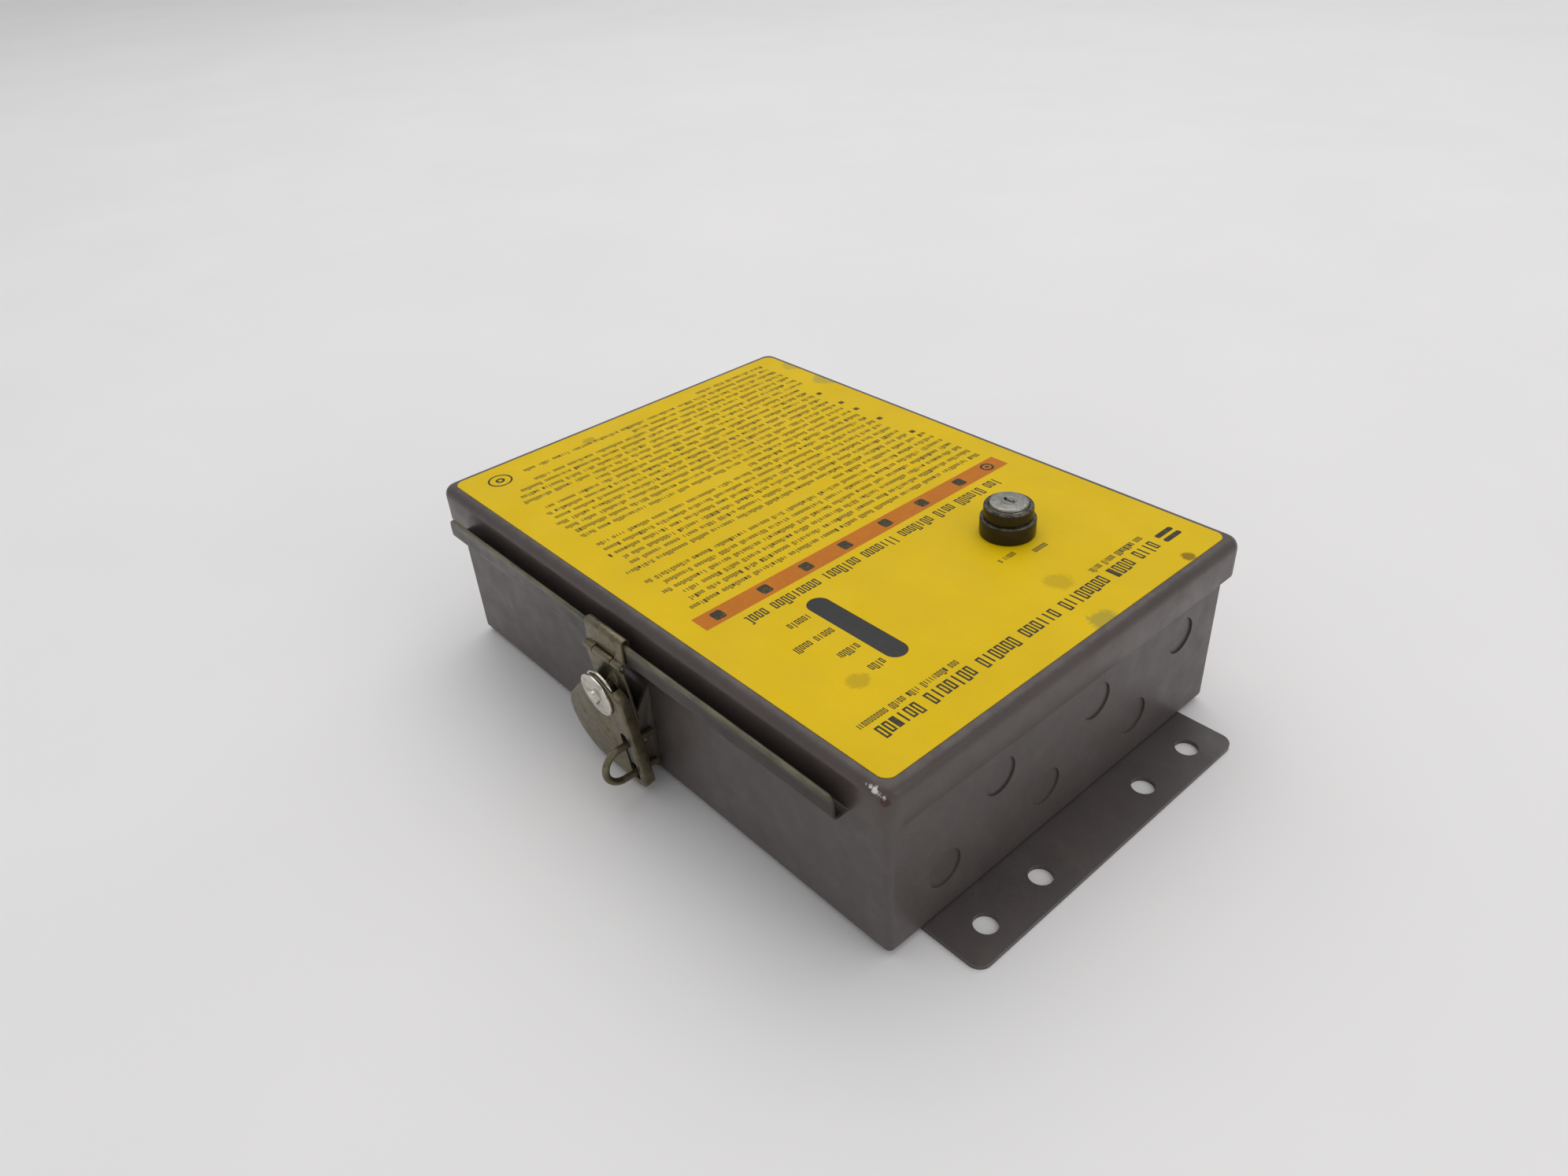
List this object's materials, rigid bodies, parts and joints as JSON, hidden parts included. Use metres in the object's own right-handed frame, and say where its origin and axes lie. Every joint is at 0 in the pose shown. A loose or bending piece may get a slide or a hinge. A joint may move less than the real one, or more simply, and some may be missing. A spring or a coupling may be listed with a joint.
{
  "type": "safety relay controller enclosure",
  "caption": "Hinged steel wall box with a latched lid, padlock staple, key switch, lamp window, conduit knockouts, mounting feet and a relay board inside.",
  "frame": {"origin": "centre of the outer mounting-hole pattern, on the underside of the mounting feet", "axes": "+Z out of the mounting surface towards the lid face; +X along the box towards the conduit-knockout wall; -Y the latch side, +Y the hinge side"},
  "size_m": [0.3008, 0.212, 0.089],
  "materials": {
    "enamel": "semi-gloss dark grey-brown enamel, slight orange peel",
    "lid_enamel": "semi-gloss dark grey-brown enamel, lip rubbed greenish",
    "label_film": "matte yellow printed overlay, scuffed",
    "lens": "smoked lens, glossy",
    "hinge_steel": "enamelled over the leaf, bare at the knuckles",
    "pin_steel": "plain steel pin",
    "latch_steel": "aged zinc plate, greenish grey",
    "nickel": "bright nickel, finely scratched",
    "spring_steel": "blued spring strip",
    "bracket_enamel": "enamelled with the box, chipped at the edges",
    "key_black": "dark plated dress nut",
    "key_chrome": "bright lock face",
    "key_brass": "plated brass barrel",
    "contact_plastic": "black moulded block",
    "foam": "closed-cell foam",
    "laminate": "green solder mask",
    "zinc": "bright zinc plate",
    "brass_post": "turned brass",
    "terminal_plastic": "green moulded terminal housing",
    "relay_plastic": "sealed black case",
    "core_iron": "laminated, varnished",
    "winding_tape": "tape over the winding",
    "fuse_glass": "glass tube with nickel caps",
    "clip_metal": "tinned spring clips",
    "can_sleeve": "dark blue sleeve",
    "chip_black": "moulded chip case",
    "aluminium": "extruded fins",
    "header_plastic": "black shroud, gilt pins",
    "slider_white": "white slider",
    "lamp_red": "red lamp",
    "lamp_yellow": "yellow lamp",
    "lamp_green": "green lamp"
  },
  "bodies": {
    "box": {"board_posts": "brass_post", "board_screws": "zinc", "capacitors": "can_sleeve", "enclosure_tub": "enamel", "fuse": "fuse_glass", "fuse_clips": "clip_metal", "ground_nut": "brass_post", "ground_stud": "zinc", "heat_sink": "aluminium", "hinge_leaf_box": "hinge_steel", "hinge_pin": "pin_steel", "input_terminals": "terminal_plastic", "keeper_pin": "pin_steel", "latch_bracket": "bracket_enamel", "lead_header": "header_plastic", "logic_chips": "chip_black", "main_board": "laminate", "mounting_foot_left": "enamel", "mounting_foot_right": "enamel", "mounting_panel": "zinc", "output_terminals": "terminal_plastic", "padlock_staple": "latch_steel", "panel_nuts": "zinc", "panel_studs": "zinc", "safety_relay_a": "relay_plastic", "safety_relay_b": "relay_plastic", "selector_case": "chip_black", "terminal_screws": "zinc", "transformer_core": "core_iron", "transformer_winding": "winding_tape"},
    "lid": {"lid_cover": "lid_enamel", "lid_gasket": "foam", "front_label": "label_film", "lamp_window": "lens", "hinge_leaf_lid": "hinge_steel", "latch_hook": "latch_steel", "latch_pin": "pin_steel", "key_bezel": "key_black", "key_switch_body": "key_black", "key_washer": "zinc", "key_nut": "key_brass", "contact_block": "contact_plastic", "lamp_board": "laminate", "lamp_posts": "brass_post", "lamp_screws": "zinc", "fault_lamp": "lamp_red", "interlock_lamp": "lamp_yellow", "stop_lamp": "lamp_red", "run_lamp": "lamp_green"},
    "latch_arm": {"latch_strap": "latch_steel", "latch_paddle": "latch_steel", "latch_rivet": "nickel", "latch_spring": "spring_steel"},
    "key_core": {"lock_core": "key_chrome"},
    "key_plunger": {"contact_plunger": "slider_white"},
    "mode_selector": {"selector_slider": "slider_white"}
  },
  "joints": [
    {"name": "lid_hinge", "type": "hinge", "parent": "box", "child": "lid", "pos_m": [0, 0.0949, 0.0575], "axis": [-1, 0, 0], "range_deg": [0, 170]},
    {"name": "latch_swing", "type": "hinge", "parent": "lid", "child": "latch_arm", "pos_m": [0, -0.1, 0.0592], "axis": [-1, 0, 0], "range_deg": [0, 115]},
    {"name": "key_turn", "type": "hinge", "parent": "lid", "child": "key_core", "pos_m": [0.0666, 0.0374, 0.07], "axis": [0, 0, 1], "range_deg": [0, 60], "stiffness_Nm_per_rad": 0.02},
    {"name": "plunger_travel", "type": "slide", "parent": "lid", "child": "key_plunger", "axis": [0, 0, -1], "range_m": [0, 0.0021]},
    {"name": "mode_slide", "type": "slide", "parent": "box", "child": "mode_selector", "axis": [1, 0, 0], "range_m": [0, 0.004]}
  ],
  "couplings": [
    {"joint": "plunger_travel", "follows": "key_turn", "m_per_rad": 0.00191}
  ]
}
